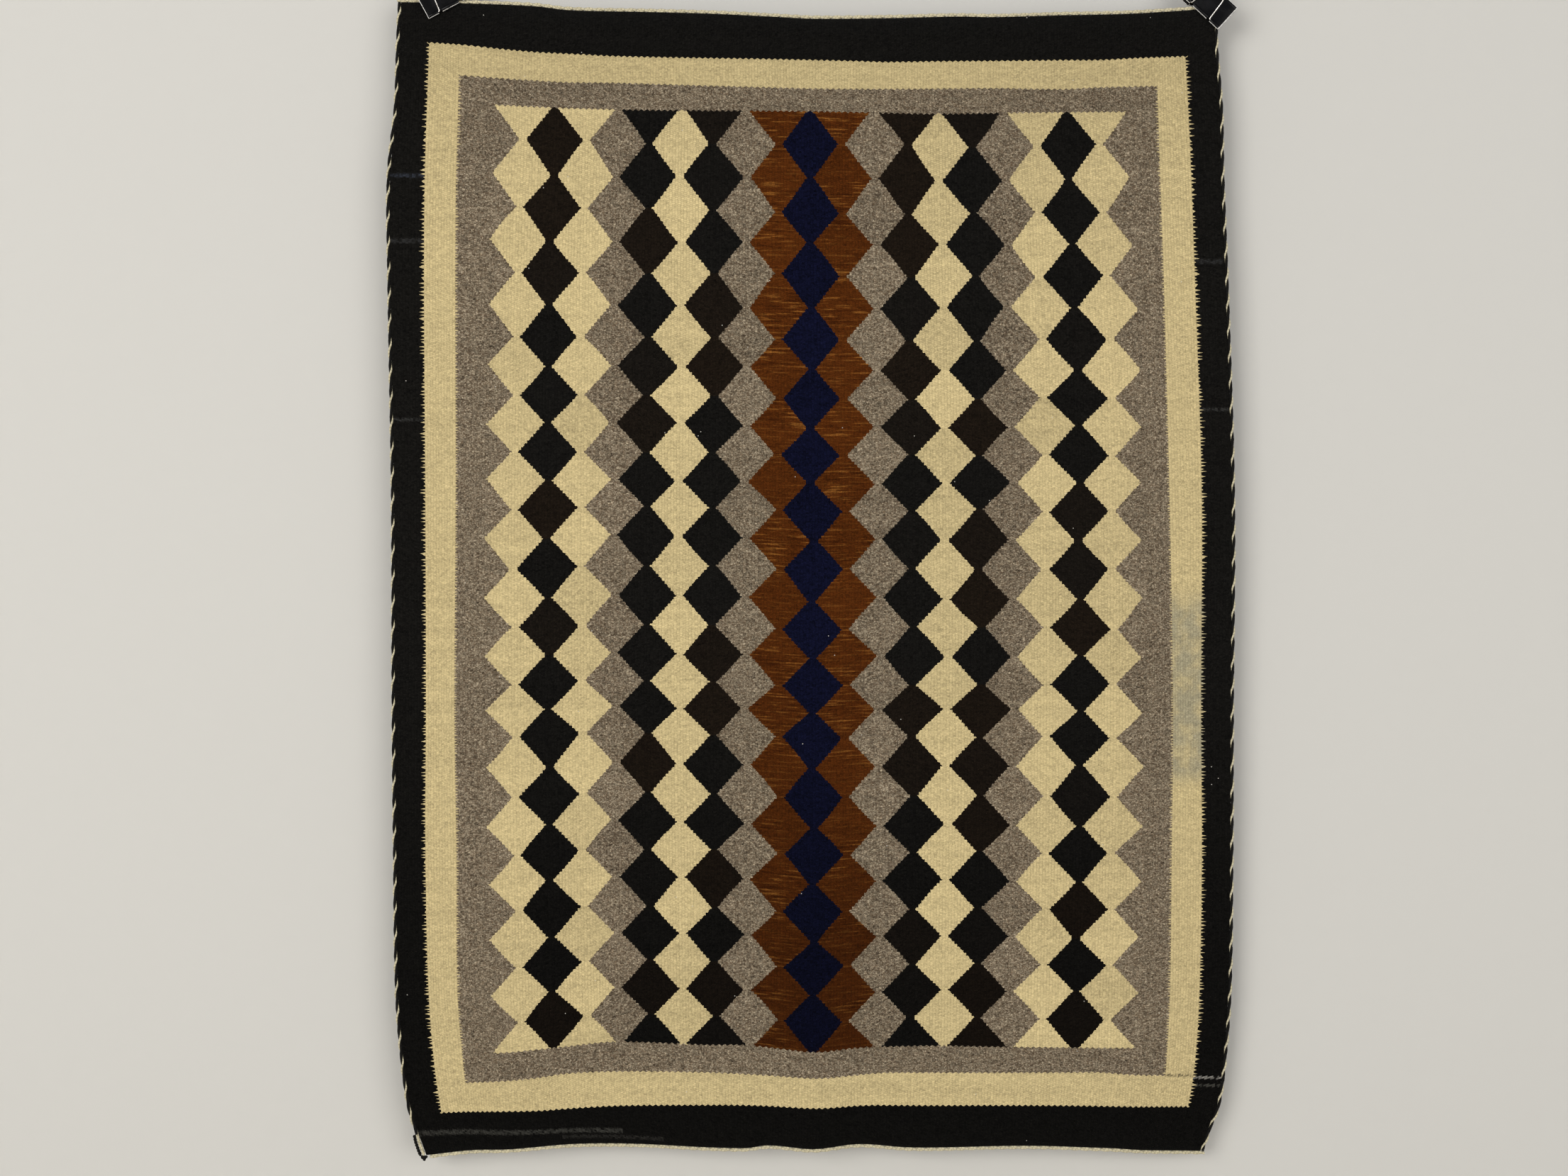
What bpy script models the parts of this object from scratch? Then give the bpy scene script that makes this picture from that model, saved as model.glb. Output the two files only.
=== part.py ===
"""Handwoven diamond rug hanging from two spring clips.

Metres, +Z up. The rug hangs in the XZ plane with its face towards -Y, and the origin is the
middle of its top edge. Sizes in the tables are millimetres: across is +X, drop is downwards
from the origin, and lift is forwards, towards -Y.
"""
import math
import random

import bmesh
import bpy
from mathutils import Vector

MM = 0.001

# Cloth
CLOTH_THICK = 3.6
CLOTH_COLUMNS = 24
CLOTH_ROWS = 24
SHARP_ANGLE = 50
TOUCH_GAP = 0.3

SIDE_EDGES = (
    # drop, left, right: where the cloth ends at each side
    (-17.0, -415.6, 411.0),
    (27.0, -417.7, 409.8),
    (92.0, -419.9, 414.8),
    (164.0, -427.1, 416.3),
    (272.0, -426.4, 420.6),
    (488.0, -422.8, 427.1),
    (704.0, -422.0, 426.4),
    (848.0, -420.6, 426.4),
    (992.0, -418.5, 424.9),
    (1063.0, -412.7, 419.9),
    (1107.0, -406.2, 414.1),
    (1130.0, -399.0, 405.5),
    (1156.0, -389.5, 396.5),
)

TOP_EDGE = (
    # across, drop
    (-418.0, -13.3),
    (-350.0, -12.0),
    (-305.0, -10.4),
    (-276.0, -8.6),
    (-247.0, -5.0),
    (-176.0, -3.2),
    (-104.0, -0.9),
    (-32.0, 2.7),
    (4.0, 4.4),
    (76.0, 3.8),
    (148.0, 2.3),
    (184.0, 2.8),
    (256.0, 0.5),
    (328.0, -1.7),
    (415.0, -7.2),
)

BOTTOM_EDGE = (
    # across, drop
    (-390.0, 1155.5),
    (-344.0, 1149.8),
    (-306.0, 1149.0),
    (-243.0, 1144.7),
    (-176.0, 1145.1),
    (-68.0, 1148.3),
    (-44.0, 1145.4),
    (0.0, 1147.8),
    (45.0, 1145.1),
    (100.0, 1147.6),
    (213.0, 1145.6),
    (303.0, 1149.0),
    (340.0, 1152.2),
    (397.0, 1154.4),
)

FOLDS = (
    # across, half_width, lift at the top, the middle and the bottom
    (-330.0, 80.0, 0.0, 1.0, 4.0),
    (-190.0, 60.0, -1.0, -1.5, -3.0),
    (-70.0, 70.0, 0.5, 1.5, 1.0),
    (8.0, 30.0, 0.0, -0.5, 5.5),
    (56.0, 34.0, 0.0, 0.5, -3.5),
    (170.0, 80.0, 1.0, -1.0, 2.5),
    (300.0, 60.0, 0.0, 1.5, 1.5),
    (410.0, 90.0, 0.0, -1.0, -8.0),
)
BOW_LIFT = 7.0
BOW_SHARE_AT_ENDS = 0.3
BOW_SPAN = 870.0

# Cords along the edges
SIDE_CORD_HALF_WIDE = 1.8
SIDE_CORD_HALF_THIN = 1.1
SIDE_CORD_TURN = 27.0
SIDE_CORD_STEPS = 6
LEFT_CORD_BARE = 21.0
END_CORD_HALF_DEEP = 1.8
END_CORD_HALF_TALL = 2.1
END_CORD_STEP = 10.0
END_CORD_WAISTS = (0.78, 0.95)
END_CORDS = (
    # name, share down the cloth, side it lies on, overruns past the left and right corners, seed
    ("top_end_cord", 0.0, 1, (3.9, 3.9), 3),
    ("bottom_end_cord", 1.0, -1, (-4.0, 3.9), 5),
)
CORD_SIDES = 6

# Bare cords and knot at the bottom left corner, from the cloth's corner
CORNER_STRAND_RADIUS = 1.1
CREAM_STRAND = (
    # across, drop
    (-9.6, -20.6),
    (-8.3, -15.0),
    (-6.0, -8.5),
    (-3.8, -2.8),
    (-2.75, -0.1),
)
BLACK_STRAND = (
    # across, drop
    (-12.2, -19.8),
    (-11.2, -14.0),
    (-8.9, -7.0),
    (-7.0, -2.0),
    (-5.8, 0.6),
)
KNOT_CENTRE = (-2.2, 2.85)
KNOT_RADIUS = 2.4
KNOT_STRETCH = (1.35, 0.75, 1.0)
KNOT_SEGMENTS = 8
KNOT_RINGS = 6

# Spring clips
CLIP_WIDTH = 51.0
SHEET_THICK = 0.8
MERGE_WITHIN = 0.01
ROLL_RADIUS = 1.5
ROLL_START = 20.0
ROLL_TURN = 270.0
ROLL_STEPS = 8
PLATE_SLOPE = 20.0
SPINE_DEPTH = 27.5
SPINE_CORNER = 2.5
SPINE_STEPS = 4
TONGUE_HALF = 9.5
KNUCKLE_START = 13.5
WIRE_RADIUS = 0.8

HANDLE_HALF = (
    # across the jaw, along the plate
    (23.0, 0.0),
    (13.4, 0.0),
    (12.3, 0.3),
    (12.0, 1.2),
    (10.2, 20.0),
    (6.9, 31.0),
    (6.4, 34.0),
    (6.9, 37.4),
)
HANDLE_LOOP_CENTRE = 41.0
HANDLE_LOOP_RADIUS = 7.4
HANDLE_LOOP_STEPS = 4

CLIPS = (
    # name, across, drop, turn in degrees
    ("left_clip", -364.4, -7.2, 28.0),
    ("right_clip", 393.2, -2.0, -43.0),
)
CLIP_CALM = (45.0, 150.0)

COLOURS = {
    # name: red, green, blue, roughness, metallic
    "rug_wool": (0.30, 0.25, 0.18, 0.95, 0.0),
    "cream_cord": (0.62, 0.53, 0.34, 0.95, 0.0),
    "side_cord": (0.07, 0.06, 0.05, 0.95, 0.0),
    "black_cord": (0.015, 0.013, 0.012, 0.95, 0.0),
    "clip_enamel": (0.012, 0.012, 0.013, 0.35, 0.0),
    "clip_wire": (0.72, 0.71, 0.69, 0.25, 1.0),
}


def smooth_at(rows, place, column=1):
    """Read a column of a table on a smooth curve through its rows, held past the ends."""
    if place <= rows[0][0]:
        return rows[0][column]
    if place >= rows[-1][0]:
        return rows[-1][column]
    start = max(i for i, row in enumerate(rows) if row[0] <= place)

    def slope(i):
        low, high = max(i - 1, 0), min(i + 1, len(rows) - 1)
        return (rows[high][column] - rows[low][column]) / (rows[high][0] - rows[low][0])

    span = rows[start + 1][0] - rows[start][0]
    t = (place - rows[start][0]) / span
    return ((2 * t**3 - 3 * t**2 + 1) * rows[start][column]
            + (t**3 - 2 * t**2 + t) * span * slope(start)
            + (3 * t**2 - 2 * t**3) * rows[start + 1][column]
            + (t**3 - t**2) * span * slope(start + 1))


def smoothstep(low, high, value):
    t = min(1.0, max(0.0, (value - low) / (high - low)))
    return t * t * (3 - 2 * t)


def lift_at(across, drop):
    """How far the cloth stands forward: a broad bow and soft folds, calm where the clips hold it."""
    down = min(1.0, max(0.0, drop / BOTTOM_EDGE[0][1]))
    bow = BOW_SHARE_AT_ENDS + (1 - BOW_SHARE_AT_ENDS) * math.sin(math.pi * down)
    lift = BOW_LIFT * bow * math.cos(math.pi * across / BOW_SPAN)
    for centre, half_width, top, middle, bottom in FOLDS:
        height = smooth_at(((0.0, top), (0.5, middle), (1.0, bottom)), down)
        lift += height * math.exp(-((across - centre) / half_width) ** 2)
    for _, clip_across, clip_drop, _ in CLIPS:
        away = math.hypot(across - clip_across, drop - clip_drop)
        lift *= smoothstep(CLIP_CALM[0], CLIP_CALM[1], away)
    return lift


def cloth_point(share_across, share_down):
    """Middle of the cloth's thickness, at shares 0 to 1 of its width and length, in metres."""
    drop = share_down * BOTTOM_EDGE[0][1]
    for _ in range(3):
        left = smooth_at(SIDE_EDGES, drop, 1)
        right = smooth_at(SIDE_EDGES, drop, 2)
        across = left + (right - left) * share_across
        top = smooth_at(TOP_EDGE, across)
        drop = top + (smooth_at(BOTTOM_EDGE, across) - top) * share_down
    return Vector((across, -lift_at(across, drop), -drop)) * MM


def material(name):
    made = bpy.data.materials.get(name)
    if made:
        return made
    red, green, blue, roughness, metallic = COLOURS[name]
    made = bpy.data.materials.new(name)
    made.use_nodes = True
    shader = made.node_tree.nodes["Principled BSDF"]
    shader.inputs["Base Color"].default_value = (red, green, blue, 1.0)
    shader.inputs["Roughness"].default_value = roughness
    shader.inputs["Metallic"].default_value = metallic
    return made


def add_object(name, data, material_name, collection):
    made = bpy.data.objects.new(name, data)
    data.materials.append(material(material_name))
    collection.objects.link(made)
    return made


def mesh_from(name, bm):
    mesh = bpy.data.meshes.new(name)
    bm.to_mesh(mesh)
    bm.free()
    return mesh


def make_cloth(collection):
    """The woven sheet: a flat grid carried onto the hanging outline and its folds, then thickened."""
    bm = bmesh.new()
    bmesh.ops.create_grid(bm, x_segments=CLOTH_COLUMNS, y_segments=CLOTH_ROWS, size=0.5)
    for vert in bm.verts:
        vert.co = cloth_point(vert.co.x + 0.5, 0.5 - vert.co.y)
    cloth = add_object("rug_cloth", mesh_from("rug_cloth", bm), "rug_wool", collection)
    thicken = cloth.modifiers.new("thickness", "SOLIDIFY")
    thicken.thickness = CLOTH_THICK * MM
    thicken.offset = 0.0
    cloth.data.shade_smooth()
    cloth.data.set_sharp_from_angle(angle=math.radians(SHARP_ANGLE))


def side_edge(share_across):
    """The cloth's side edge, straight between its rows."""
    return [cloth_point(share_across, row / CLOTH_ROWS) for row in range(CLOTH_ROWS + 1)]


def end_edge(share_down):
    """The cloth's top or bottom edge, straight between its columns."""
    return [cloth_point(column / CLOTH_COLUMNS, share_down) for column in range(CLOTH_COLUMNS + 1)]


def walk(route, step):
    """Points at about equal steps along a route, and each one's distance from its start."""
    lengths = [(b - a).length for a, b in zip(route, route[1:])]
    total = sum(lengths)
    count = max(2, round(total / (step * MM)))
    points = []
    for i in range(count + 1):
        leg = 0
        rest = total * i / count
        while leg < len(lengths) - 1 and rest > lengths[leg]:
            rest -= lengths[leg]
            leg += 1
        point = route[leg].lerp(route[leg + 1], min(1.0, rest / lengths[leg]))
        points.append((point, total * i / count))
    return points


def shifted(route, offset):
    return [point + Vector(offset) * MM for point in route]


def oval_section(name, half_wide, half_thin, guides):
    """A closed flat curve that a cord's own curve carries along as its section."""
    curve = bpy.data.curves.new(name, "CURVE")
    curve.dimensions = "2D"
    spline = curve.splines.new("POLY")
    spline.points.add(CORD_SIDES - 1)
    for i, point in enumerate(spline.points):
        angle = -2 * math.pi * i / CORD_SIDES
        point.co = (half_wide * MM * math.cos(angle), half_thin * MM * math.sin(angle), 0, 1)
    spline.use_cyclic_u = True
    guide = bpy.data.objects.new(name, curve)
    guide.hide_render = True
    guide.display_type = "WIRE"
    guides.objects.link(guide)
    return guide


def path_curve(name, points, tilts=None, radii=None):
    """An open poly curve with filled ends through points in metres."""
    curve = bpy.data.curves.new(name, "CURVE")
    curve.dimensions = "3D"
    curve.twist_mode = "MINIMUM"
    curve.use_fill_caps = True
    spline = curve.splines.new("POLY")
    spline.points.add(len(points) - 1)
    for i, point in enumerate(points):
        spline.points[i].co = (*point, 1.0)
        if tilts:
            spline.points[i].tilt = tilts[i]
        if radii:
            spline.points[i].radius = radii[i]
    return curve


def make_side_cords(name, share_across, outward, bare_length, section, collection):
    """Two cords twisted into one down a side edge, their twist turning the oval section."""
    reach = (SIDE_CORD_HALF_WIDE + TOUCH_GAP) * outward
    steps = walk(shifted(side_edge(share_across), (reach, 0, 0)), SIDE_CORD_TURN / SIDE_CORD_STEPS)
    length = steps[-1][1]
    kept = [step for step in steps if step[1] <= length - bare_length * MM]
    tilts = [2 * math.pi * distance / (SIDE_CORD_TURN * MM) for _, distance in kept]
    curve = path_curve(name, [point for point, _ in kept], tilts=tilts)
    curve.bevel_mode = "OBJECT"
    curve.bevel_object = section
    add_object(name, curve, "side_cord", collection)


def make_end_cord(name, share_down, offset, overruns, seed, section, collection):
    """The lumpy cord twined along one end of the cloth, past its corners by the overruns."""
    route = shifted(end_edge(share_down), (0, 0, offset))
    first = (route[0] - route[1]).normalized()
    last = (route[-1] - route[-2]).normalized()
    route[0] += first * overruns[0] * MM
    route[-1] += last * overruns[1] * MM
    steps = walk(route, END_CORD_STEP)
    uneven = random.Random(seed)
    radii = [1.0 if i % 2 else uneven.uniform(*END_CORD_WAISTS) for i in range(len(steps))]
    curve = path_curve(name, [point for point, _ in steps], radii=radii)
    curve.bevel_mode = "OBJECT"
    curve.bevel_object = section
    add_object(name, curve, "cream_cord", collection)


def make_corner(collection):
    """The side cords running bare beside the bottom left corner, and their knot."""
    corner = cloth_point(0.0, 1.0)
    for name, rows, colour in (("corner_cord_cream", CREAM_STRAND, "cream_cord"),
                               ("corner_cord_black", BLACK_STRAND, "black_cord")):
        points = [corner + Vector((across, 0, -drop)) * MM for across, drop in rows]
        curve = path_curve(name, points)
        curve.bevel_depth = CORNER_STRAND_RADIUS * MM
        curve.bevel_resolution = 1
        add_object(name, curve, colour, collection)
    bm = bmesh.new()
    bmesh.ops.create_uvsphere(bm, u_segments=KNOT_SEGMENTS, v_segments=KNOT_RINGS, radius=KNOT_RADIUS * MM)
    for vert in bm.verts:
        vert.co = Vector((a * b for a, b in zip(vert.co, KNOT_STRETCH)))
        vert.co += corner + Vector((KNOT_CENTRE[0], 0, -KNOT_CENTRE[1])) * MM
    add_object("corner_knot", mesh_from("corner_knot", bm), "black_cord", collection)


def roll_centre():
    """Forward reach and height of the rolled edge's centre, over the cloth that it grips."""
    forward = CLOTH_THICK / 2 + TOUCH_GAP + SHEET_THICK / 2 + ROLL_RADIUS
    return forward, ROLL_RADIUS + SHEET_THICK / 2


def half_profile():
    """Half of the clip's bent sheet as (forward, height) rows: rolled edge, plate, half the spine."""
    forward, height = roll_centre()
    rows = []
    for i in range(ROLL_STEPS + 1):
        angle = math.radians(ROLL_START + ROLL_TURN * i / ROLL_STEPS)
        rows.append((forward + ROLL_RADIUS * math.sin(angle), height + ROLL_RADIUS * math.cos(angle)))
    slope = math.radians(PLATE_SLOPE)
    corner_height = SPINE_DEPTH - SPINE_CORNER
    rise = (corner_height - rows[-1][1]) * math.sin(slope) - SPINE_CORNER
    corner_forward = rows[-1][0] + rise / math.cos(slope)
    for i in range(SPINE_STEPS + 1):
        angle = (slope + math.pi / 2) * (1 - i / SPINE_STEPS)
        rows.append((corner_forward + SPINE_CORNER * math.sin(angle),
                     corner_height + SPINE_CORNER * math.cos(angle)))
    rows.append((0.0, SPINE_DEPTH))
    return rows


def clip_sheet():
    """Half of the sheet drawn out along the jaw, with the roll cut away where the wires come out."""
    stations = (-CLIP_WIDTH / 2, -KNUCKLE_START, -TONGUE_HALF, TONGUE_HALF, KNUCKLE_START, CLIP_WIDTH / 2)
    rows = half_profile()
    bm = bmesh.new()
    verts = [bm.verts.new((stations[0] * MM, -forward * MM, height * MM)) for forward, height in rows]
    edges = [bm.edges.new(pair) for pair in zip(verts, verts[1:])]
    for start, end in zip(stations, stations[1:]):
        drawn = bmesh.ops.extrude_edge_only(bm, edges=edges)["geom"]
        moved = [item for item in drawn if isinstance(item, bmesh.types.BMVert)]
        fresh = set(moved)
        edges = [item for item in drawn if isinstance(item, bmesh.types.BMEdge)
                 and item.verts[0] in fresh and item.verts[1] in fresh]
        bmesh.ops.translate(bm, verts=moved, vec=((end - start) * MM, 0, 0))
    roll_limit = roll_centre()[1] + ROLL_RADIUS
    for face in list(bm.faces):
        middle = face.calc_center_median() / MM
        if TONGUE_HALF < abs(middle.x) < KNUCKLE_START and middle.z < roll_limit:
            bm.faces.remove(face)
    bmesh.ops.delete(bm, geom=[edge for edge in bm.edges if not edge.link_faces], context="EDGES")
    return bm


def make_clip_body(name, seat, collection):
    body = add_object(name, mesh_from(name, clip_sheet()), "clip_enamel", collection)
    body.parent = seat
    mirror = body.modifiers.new("back half", "MIRROR")
    mirror.use_axis = (False, True, False)
    mirror.merge_threshold = MERGE_WITHIN * MM
    thicken = body.modifiers.new("sheet", "SOLIDIFY")
    thicken.thickness = SHEET_THICK * MM
    thicken.offset = 0.0
    thicken.use_even_offset = True


def make_clip_handle(name, facing, seat, collection):
    """A wire handle folded flat along its plate: feet in the rolled edge, legs, and a round loop."""
    loop = [(HANDLE_LOOP_RADIUS * math.cos(math.radians(90 * i / HANDLE_LOOP_STEPS)),
             HANDLE_LOOP_CENTRE + HANDLE_LOOP_RADIUS * math.sin(math.radians(90 * i / HANDLE_LOOP_STEPS)))
            for i in range(HANDLE_LOOP_STEPS + 1)]
    half = list(HANDLE_HALF) + loop
    whole = half + [(-across, along) for across, along in reversed(half[:-1])]
    forward, height = roll_centre()
    slope = math.radians(PLATE_SLOPE)
    points = [Vector((across, -facing * (forward + along * math.sin(slope)),
                      height + along * math.cos(slope))) * MM for across, along in whole]
    curve = path_curve(name, points)
    curve.bevel_depth = WIRE_RADIUS * MM
    curve.bevel_resolution = 1
    add_object(name, curve, "clip_wire", collection).parent = seat


def make_clip(name, across, drop, turn, collection):
    seat = bpy.data.objects.new(name + "_seat", None)
    seat.location = Vector((across, 0, -drop)) * MM
    seat.rotation_euler.y = -math.radians(turn)
    collection.objects.link(seat)
    make_clip_body(name + "_body", seat, collection)
    make_clip_handle(name + "_front_handle", 1, seat, collection)
    make_clip_handle(name + "_back_handle", -1, seat, collection)


def main():
    for old in list(bpy.data.objects):
        bpy.data.objects.remove(old, do_unlink=True)
    collection = bpy.data.collections.new("hanging diamond rug")
    guides = bpy.data.collections.new("guides")
    bpy.context.scene.collection.children.link(collection)
    bpy.context.scene.collection.children.link(guides)

    make_cloth(collection)
    side_section = oval_section("side cord section", SIDE_CORD_HALF_WIDE, SIDE_CORD_HALF_THIN, guides)
    make_side_cords("left_side_cords", 0.0, -1, LEFT_CORD_BARE, side_section, collection)
    make_side_cords("right_side_cords", 1.0, 1, 0.0, side_section, collection)
    end_section = oval_section("end cord section", END_CORD_HALF_DEEP, END_CORD_HALF_TALL, guides)
    for name, share_down, side, overruns, seed in END_CORDS:
        offset = side * (END_CORD_HALF_TALL + TOUCH_GAP)
        make_end_cord(name, share_down, offset, overruns, seed, end_section, collection)
    make_corner(collection)
    for name, across, drop, turn in CLIPS:
        make_clip(name, across, drop, turn, collection)


main()
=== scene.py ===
"""Looks of the handwoven diamond rug: its weave, edge cords, corner knot and spring clips.

Metres, +Z up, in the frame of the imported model: the origin is the middle of the rug's top edge
and the rug's face is towards -Y. Tables are in millimetres: across is +X, drop is downwards and
lift is forwards. The weave is counted in warps from the left edge and wefts from the top.
"""
import math

import bmesh
import bpy
import numpy as np
from mathutils import Euler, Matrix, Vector


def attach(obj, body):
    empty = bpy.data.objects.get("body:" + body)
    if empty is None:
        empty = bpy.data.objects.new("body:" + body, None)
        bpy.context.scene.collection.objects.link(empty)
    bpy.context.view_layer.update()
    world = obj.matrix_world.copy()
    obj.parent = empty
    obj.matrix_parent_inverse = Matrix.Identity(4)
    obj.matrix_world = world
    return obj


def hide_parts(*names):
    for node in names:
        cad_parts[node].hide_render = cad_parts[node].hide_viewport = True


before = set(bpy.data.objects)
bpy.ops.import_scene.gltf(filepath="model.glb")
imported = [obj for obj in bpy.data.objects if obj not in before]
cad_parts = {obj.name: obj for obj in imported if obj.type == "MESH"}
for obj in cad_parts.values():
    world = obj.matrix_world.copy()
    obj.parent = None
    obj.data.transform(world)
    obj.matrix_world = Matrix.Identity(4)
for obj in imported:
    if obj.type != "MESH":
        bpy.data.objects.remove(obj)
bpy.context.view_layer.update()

BODY = "root"
MM = 0.001

# View and light
PHOTO_CENTRE = (-27.3, 581.0)
PHOTO_WIDTH = 1591.5
CAMERA_DISTANCE = 1.75
SENSOR_WIDTH = 36.0
WALL_BEHIND = 0.032
WALL_HALF_WIDE = 1.7
WALL_HALF_HIGH = 1.5
WALL_CENTRE = -0.58
FLOOR_BELOW = 0.42
FLOOR_REACH = 4.0
WALL_COLOUR = (196, 194, 188)
FLOOR_COLOUR = (214, 210, 202)
LIGHT_AIM = (0.05, 0.0, -0.6)
LIGHTS = (
    # name, place, width and height, watts, colour
    ("window light", (-2.3, -3.6, 0.2), (2.2, 2.2), 108.0, (1.0, 0.985, 0.96)),
    ("room light", (2.2, -3.4, -0.4), (2.6, 2.6), 60.0, (1.0, 0.99, 0.97)),
    ("back light", (0.6, 2.4, 0.4), (2.0, 2.0), 45.0, (1.0, 0.99, 0.97)),
)
ROOM_GLOW = (0.94, 0.95, 1.0, 1.0)
ROOM_STRENGTH = 0.42

# Outline and the lines of the pattern
LINES_DOWN = (
    # drop, cloth's left edge, black to cream, cream to grey, lattice's left tips, blue column,
    # lattice's right tips, grey to cream, cream to black, cloth's right edge
    (-17.0, -415.6, -387.0, -357.0, -324.0, -1.5, 322.5, 350.0, 378.5, 411.0),
    (27.0, -417.7, -387.1, -357.0, -324.2, -1.3, 323.0, 350.5, 379.0, 409.8),
    (92.0, -419.9, -389.2, -357.6, -324.6, -1.1, 323.8, 351.8, 382.4, 414.8),
    (164.0, -427.1, -391.4, -359.7, -327.0, -0.8, 327.0, 354.0, 385.5, 416.3),
    (272.0, -426.4, -392.1, -360.3, -330.0, -0.2, 332.5, 357.6, 389.3, 420.6),
    (488.0, -422.8, -390.7, -359.8, -333.2, 1.0, 339.0, 363.3, 396.2, 427.1),
    (704.0, -422.0, -390.0, -361.0, -333.0, 1.5, 340.0, 367.2, 395.8, 426.4),
    (848.0, -420.6, -390.5, -358.8, -330.5, 1.8, 338.5, 366.2, 397.2, 426.4),
    (992.0, -418.5, -387.1, -357.8, -327.5, 2.1, 335.0, 364.9, 395.2, 424.9),
    (1063.0, -412.7, -381.3, -351.9, -325.0, 2.3, 333.0, 361.4, 390.9, 419.9),
    (1107.0, -406.2, -374.8, -347.0, -323.0, 2.4, 330.0, 357.0, 384.2, 414.1),
    (1130.0, -399.0, -370.0, -343.0, -320.0, 2.4, 327.0, 353.0, 378.0, 405.5),
    (1156.0, -389.5, -362.0, -337.0, -316.0, 2.4, 322.0, 347.0, 372.0, 396.5),
)
WARP_OF_LINE = (0, 11, 22, 32, 142, 252, 262, 273, 283)

TOP_EDGE = (
    # across, drop
    (-418.0, -13.3), (-350.0, -12.0), (-305.0, -10.4), (-276.0, -8.6), (-247.0, -5.0),
    (-176.0, -3.2), (-104.0, -0.9), (-32.0, 2.7), (4.0, 4.4), (76.0, 3.8), (148.0, 2.3),
    (184.0, 2.8), (256.0, 0.5), (328.0, -1.7), (415.0, -7.2),
)
BOTTOM_EDGE = (
    # across, drop
    (-390.0, 1155.5), (-344.0, 1149.8), (-306.0, 1149.0), (-243.0, 1144.7), (-176.0, 1145.1),
    (-68.0, 1148.3), (-44.0, 1145.4), (0.0, 1147.8), (45.0, 1145.1), (100.0, 1147.6),
    (213.0, 1145.6), (303.0, 1149.0), (340.0, 1152.2), (397.0, 1154.4),
)
LINES_ACROSS = (
    # across, black to cream, cream to grey, grey to field, field to grey, grey to cream,
    # cream to black
    (-420.0, 26.5, 58.5, 87.5, 1054.0, 1084.0, 1116.0),
    (-385.0, 28.1, 60.0, 88.5, 1053.0, 1083.0, 1113.0),
    (-352.0, 30.4, 61.5, 90.0, 1052.0, 1081.5, 1110.9),
    (-310.0, 35.0, 64.7, 92.0, 1051.0, 1079.8, 1110.5),
    (-276.0, 38.1, 67.0, 93.8, 1048.0, 1076.7, 1110.2),
    (-247.0, 39.6, 68.7, 95.0, 1045.3, 1072.8, 1108.5),
    (-200.0, 42.0, 69.2, 96.3, 1041.1, 1071.3, 1106.4),
    (-104.0, 44.6, 72.7, 97.9, 1043.3, 1071.3, 1104.4),
    (-68.0, 45.2, 73.8, 98.2, 1043.3, 1072.8, 1104.4),
    (0.0, 46.5, 75.6, 98.7, 1049.6, 1076.2, 1106.5),
    (45.0, 47.6, 76.0, 99.6, 1047.0, 1074.7, 1105.9),
    (76.0, 48.6, 76.0, 100.3, 1045.5, 1072.1, 1105.2),
    (126.0, 48.0, 75.8, 101.2, 1044.0, 1071.3, 1104.6),
    (184.0, 47.5, 75.2, 100.5, 1045.0, 1071.3, 1104.4),
    (256.0, 46.4, 75.9, 99.3, 1046.2, 1071.5, 1105.1),
    (292.0, 46.0, 73.8, 98.9, 1046.9, 1071.7, 1105.9),
    (330.0, 43.8, 72.7, 98.5, 1047.6, 1075.2, 1107.4),
    (385.0, 41.8, 71.5, 98.0, 1048.5, 1077.0, 1108.8),
    (425.0, 41.0, 71.0, 97.5, 1049.0, 1078.0, 1110.0),
)
COLUMN_WARPS = 11
WAIST_WARPS = 2.3
SCALLOP = 0.8
HALF_ROW = 34
FIELD_HALF_ROWS = 32
WEFT_OF_LINE = (0, 52, 87, 115, 115 + FIELD_HALF_ROWS * HALF_ROW, 1235, 1271, 1321)
WEFTS_ABOVE_FIELD = (0, 26, 52, 70, 87, 101)
WEFTS_BELOW_FIELD = (1219, 1235, 1253, 1271, 1296, 1308, 1321)
WEFT_PITCH = 0.83
ROW_CENTRES = (
    # half rows from the field's top, drop at the blue column
    (0, 98.7), (1, 132.2), (3, 200.6), (5, 265.1), (7, 330.3), (9, 390.0), (11, 447.3),
    (13, 503.8), (15, 563.5), (17, 623.1), (19, 680.5), (21, 733.8), (23, 794.3), (25, 851.6),
    (27, 908.9), (29, 965.4), (31, 1020.3), (32, 1049.6),
)

# Depth of the hanging cloth
FOLDS = (
    # across, half_width, lift at the top, the middle and the bottom
    (-330.0, 80.0, 0.0, 1.0, 4.0),
    (-190.0, 60.0, -1.0, -1.5, -3.0),
    (-70.0, 70.0, 0.5, 1.5, 1.0),
    (8.0, 30.0, 0.0, -0.5, 5.5),
    (56.0, 34.0, 0.0, 0.5, -3.5),
    (170.0, 80.0, 1.0, -1.0, 2.5),
    (300.0, 60.0, 0.0, 1.5, 1.5),
    (410.0, 90.0, 0.0, -1.0, -8.0),
)
BOW_LIFT = 7.0
BOW_SHARE_AT_ENDS = 0.3
BOW_SPAN = 870.0
RUG_DROP = 1155.5
CLIPS = (
    # name, across, drop, turn in degrees
    ("left_clip", -364.4, -7.2, 28.0),
    ("right_clip", 393.2, -2.0, -43.0),
)
CLIP_CALM = (45.0, 150.0)

# Ribs of the weave
RIB_CREST = 1.75
RIB_VALLEY = 1.58
RIB_STATIONS = (0.0, 0.28, 0.72)
EDGE_HALF_THICK = 0.9

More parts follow.
